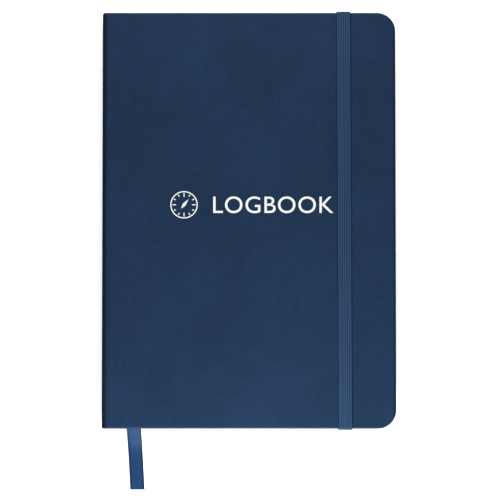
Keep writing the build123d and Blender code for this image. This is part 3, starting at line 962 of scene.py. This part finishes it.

# %% [markdown]
# ## Ribbon marker
# A satin ribbon has a length and hangs by one end. This one is fixed at the head, lies between the two
# halves, leaves the pages at the tail, drops to the table and lies flat to its straight-cut end. A NURBS
# curve through a few knots gives its smooth route.

# %% Route of the ribbon
ribbon_knots = [
    (-61.3, 100.8, 8.285), (-60.9, 60, 8.285), (-60.3, 0, 8.285), (-59.3, -60, 8.285), (-58.5, -94, 8.285),
    (-58.2, -101.8, 8.27), (-58.12, -104.8, 7.7), (-58.02, -107.6, 5.8), (-57.92, -110.4, 3.2),
    (-57.8, -113.2, 1.2), (-57.62, -116.8, 0.3), (-57.35, -121.0, 0.17), (-57.1, -126.0, 0.17),
    (-56.8, -131.0, 0.2), (-56.55, -136.1, 0.17),
]
curve = bpy.data.curves.new("ribbon_route", "CURVE")
curve.dimensions, curve.resolution_u = "3D", 60
spline = curve.splines.new("NURBS")
spline.points.add(len(ribbon_knots) - 1)
for point, knot in zip(spline.points, ribbon_knots):
    point.co = (*[k * MM for k in knot], 1)
spline.order_u, spline.use_endpoint_u = 3, True
route = new_object("ribbon_route", curve)
raw = [v.co / MM for v in evaluated_mesh(route).vertices]
bpy.data.objects.remove(route)
print("points on the route:", len(raw))

# %% [markdown]
# The edges are woven with tiny loops, made here by varying the width, so the line needs even steps of
# a sixth of a loop. The walk below measures them out along the route, whatever its own points are.

# %% Even steps along the ribbon
RIBBON_STEP = PICOT / 6
ribbon_line, gap = [raw[0]], 0.0
for p, q in zip(raw, raw[1:]):
    while gap + (q - p).length >= RIBBON_STEP:
        p = p + (q - p).normalized() * (RIBBON_STEP - gap)
        ribbon_line.append(p)
        gap = 0.0
    gap += (q - p).length

# %% [markdown]
# The section is a flat lens, thicker in the middle than at the woven edges. The piece bends where it
# leaves the pages.

# %% Ribbon
RIBBON_W, RIBBON_T, PICOT_DEPTH, PICOT_WAVE = 7.0, 0.25, 0.15, 0.03
half_r, half_t = RIBBON_W / 2 + PICOT_DEPTH, RIBBON_T / 2
section = [(half_r, 0), (half_r - 0.25, half_t * 0.8), (half_r - 0.6, half_t * 0.75), (half_r * 0.4, half_t)]
section += [(-s, t) for s, t in reversed(section)]
section += [(-half_r + 0.5, -half_t * 0.8), (0, -half_t * 0.8), (half_r - 0.5, -half_t * 0.8)]
ribbon = swept("ribbon", ribbon_line, section, ribbon_satin, wave=PICOT_WAVE)
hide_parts("ribbon_marker", "ribbon_tail")
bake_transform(ribbon)
print("ribbon faces:", len(ribbon.data.polygons))

# %% [markdown]
# ## Headbands
# A headband is a cord wrapped with silk in two colours, at each end of the back of the page block.
# The same stacking tree makes it: one turn of silk is copied across the thickness, once per colour.

# %% Headbands
BEAD_X, BEAD_Y, BEAD_Z, BEAD_R = -71.2, 102.8, 2.75, 0.72
TURN_W, TURN_PITCH, TURNS = 0.55, 0.57, 10  # turns of each colour
TURN_PROFILE = ((0.55, 0.0), (0.9, 0.2), (1.0, 0.5), (0.9, 0.8), (0.55, 1.0))


def silk_turn(name, y, z, material):
    """One turn of silk as a short rounded drum along Z."""
    rings = []
    for scale, height in TURN_PROFILE:
        ring = []
        for k in range(12):
            turn, r = 2 * math.pi * k / 12, BEAD_R * scale
            ring.append((BEAD_X + r * math.cos(turn), y + r * math.sin(turn), z + TURN_W * height))
        rings.append(ring)
    return stack(name, rings, material, slot_name="headband")


for side, end in ((1, "head"), (-1, "tail")):
    for color, material, first in (("navy", silk_navy, 0), ("white", silk_white, 1)):
        turn = silk_turn(f"headband_{end}_{color}", side * BEAD_Y, BEAD_Z + TURN_PITCH * first, material)
        stacked(turn, TURNS, 2 * TURN_PITCH, 0.0, material, 1)
        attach(turn, "spine")
        if first == 0:
            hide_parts(f"headband_{end}")
        print(turn.name, len(turn.data.polygons), "faces")


# %% [markdown]
# ## Print on the front
# White foil: a plain round heading dial with a needle, and the word that says what the book is. Foil
# is pressed on, so it is a thin plate that stands a hair above the skin. A helper makes such plates;
# the ring of the dial is swept round, because a plate with a hole needs two walls.

# %% Dial
PRINT_Z, PRINT_T = TOP_Z - 0.01, 0.035
DIAL_X, DIAL_Y, DIAL_R, RING_W, RING_STEPS = -32.7, 7.6, 6.9, 0.55, 64
NEEDLE_TURN, NEEDLE_TIP, NEEDLE_BACK, NEEDLE_HALF_W = 0.9, 3.6, 2.4, 0.85


def foil(name, polygons):
    """Flat foil shapes with a thin edge. Each polygon is a list of (x, y), anticlockwise."""
    points, faces = [], []
    for shape in polygons:
        first, n = len(points), len(shape)
        points += [(x, y, PRINT_Z) for x, y in shape] + [(x, y, PRINT_Z + PRINT_T) for x, y in shape]
        faces.append(tuple(first + i for i in reversed(range(n))))
        faces.append(tuple(first + n + i for i in range(n)))
        for i in range(n):
            j = (i + 1) % n
            faces.append((first + i, first + j, first + n + j, first + n + i))
    return make_piece(name, points, faces, foil_white, smooth=False)


circle = [2 * math.pi * k / RING_STEPS for k in range(RING_STEPS)]
inner_r = DIAL_R - RING_W
loops = []
for r, z in ((inner_r, 0), (DIAL_R, 0), (DIAL_R, PRINT_T), (inner_r, PRINT_T), (inner_r, 0)):
    loops.append([(DIAL_X + r * math.cos(a), DIAL_Y + r * math.sin(a), PRINT_Z + z) for a in circle])
ring_faces = []
for k in range(4):
    for i in range(RING_STEPS):
        low, high, j = k * RING_STEPS, (k + 1) * RING_STEPS, (i + 1) % RING_STEPS
        ring_faces.append((low + i, low + j, high + j, high + i))
ring_points = [p for loop in loops for p in loop]
ring = make_piece("print_dial_ring", ring_points, ring_faces, foil_white, smooth=False)
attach(fix_normals(ring), "front_cover")


def two_ways(turn):
    """Two directions in the plane: along the turn and square to it."""
    return Vector((math.cos(turn), math.sin(turn))), Vector((-math.sin(turn), math.cos(turn)))


u, v = two_ways(NEEDLE_TURN)
needle = [u * NEEDLE_TIP, v * NEEDLE_HALF_W, u * -NEEDLE_BACK, v * -NEEDLE_HALF_W]
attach(foil("print_dial_needle", [[(DIAL_X + p.x, DIAL_Y + p.y) for p in needle]]), "front_cover")
print("dial:", 2 * DIAL_R, "mm across")

# %% [markdown]
# The marks of the dial repeat every quarter turn: a long one and two short ones. A small tree copies
# them round the centre.

# %% Dial marks
ring_tree, into, out, ring_names = new_tree("repeat_round", [
    ("Geometry", "Geometry", None), ("Count", "Int", 4), ("Centre", "Vector", (0, 0, 0)),
    ("Material", "Material", None),
])
given = into.outputs
index = node_in(ring_tree, "GeometryNodeInputIndex").outputs[0]
turn = calc(ring_tree, "MULTIPLY", calc(ring_tree, "DIVIDE", index, given["Count"]), 2 * math.pi)
spin = node_in(ring_tree, "ShaderNodeCombineXYZ", Z=turn)
spots = node_in(ring_tree, "GeometryNodeMeshLine", Count=given["Count"], Start_Location=given["Centre"],
                Offset=(0, 0, 0))
copies = node_in(ring_tree, "GeometryNodeInstanceOnPoints", Points=spots.outputs[0],
                 Instance=given["Geometry"], Rotation=spin.outputs[0])
end_tree(ring_tree, copies.outputs[0], given["Material"], out)

QUARTERS, MARK_HALF_W, outer = 4, 0.24, DIAL_R - 1.0
marks = []
for degrees, length in ((0, 1.9), (30, 1.1), (60, 1.1)):
    u, v = two_ways(math.radians(degrees))
    inner, w = outer - length, MARK_HALF_W
    mark = (u * inner - v * w, u * outer - v * w, u * outer + v * w, u * inner + v * w)
    marks.append([tuple(p) for p in mark])
dial_marks = foil("print_dial_marks", marks)
values = {"Count": QUARTERS, "Centre": (DIAL_X * MM, DIAL_Y * MM, 0), "Material": foil_white}
dial_marks.data = run_tree(dial_marks, ring_tree, ring_names, values)
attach(dial_marks, "front_cover")
print("dial marks:", len(dial_marks.data.polygons), "faces")

# %% [markdown]
# The word is a text object in Blender's own typeface. It is made a mesh first, then stretched to its
# width and put in its place, because a text object can't be fitted to a size directly.

# %% The word
WORD_X, WORD_Y, WORD_W, WORD_SIZE = -18.0, 7.6, 60.5, 12.2
letters = bpy.data.curves.new("print_word", "FONT")
letters.body = "LOGBOOK"
letters.align_x, letters.align_y = "LEFT", "CENTER"
letters.size, letters.extrude = WORD_SIZE * MM, PRINT_T * MM / 2
letters.space_character = 1.06
letters.resolution_u = 6
word = new_object("print_word_source", letters)
word_mesh = evaluated_mesh(word)
bpy.data.objects.remove(word)
xs = [p.co.x for p in word_mesh.vertices]
ys = [p.co.y for p in word_mesh.vertices]
fit = WORD_W * MM / (max(xs) - min(xs))
for vertex in word_mesh.vertices:
    vertex.co.x = WORD_X * MM + (vertex.co.x - min(xs)) * fit
    vertex.co.y = WORD_Y * MM + (vertex.co.y - (max(ys) + min(ys)) / 2) * fit
    vertex.co.z += (PRINT_Z + PRINT_T / 2) * MM
word_mesh.materials.clear()
word_mesh.materials.append(foil_white)
word_piece = new_object("print_word", word_mesh)
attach(fix_normals(word_piece), "front_cover")
print("word:", len(word_mesh.polygons), "faces, stretched by", round(fit, 3))

# %% [markdown]
# ## Pieces kept from the CAD
# The boards, pastedowns, flyleaves, mull and thread are plain plates and bars. Drawing them again would
# add nothing, because the CAD already has them exactly. They only need a finish.

# %% Finishes for the kept pieces
kept = {
    "back_board": card, "front_board": card, "back_pastedown": endpaper, "front_pastedown": endpaper,
    "back_flyleaf": endpaper, "front_flyleaf": endpaper, "spine_mull": mull_cloth,
    "sewing_thread_back": linen_thread, "sewing_thread_front": linen_thread,
}
for name, material in kept.items():
    nodes[name].data.materials.clear()
    nodes[name].data.materials.append(material)
print("kept from the CAD:", len(kept), "nodes")

# %% [markdown]
# ## Floor
# A plain pale sheet, far larger than the view, a fifth of a millimetre under the book so that the two
# faces don't lie in one plane. It is part of the stage, not of the object.

# %% Floor
FLOOR_REACH, FLOOR_Z = 30.0, -0.0002  # in metres
floor_mesh = bpy.data.meshes.new("floor")
floor_corners = ((-1, -1), (1, -1), (1, 1), (-1, 1))
floor_points = [(x * FLOOR_REACH, y * FLOOR_REACH, FLOOR_Z) for x, y in floor_corners]
floor_mesh.from_pydata(floor_points, [], [(0, 1, 2, 3)])
floor_mesh.materials.append(floor_white)
new_object("floor", floor_mesh)
print("floor:", 2 * FLOOR_REACH, "m wide")
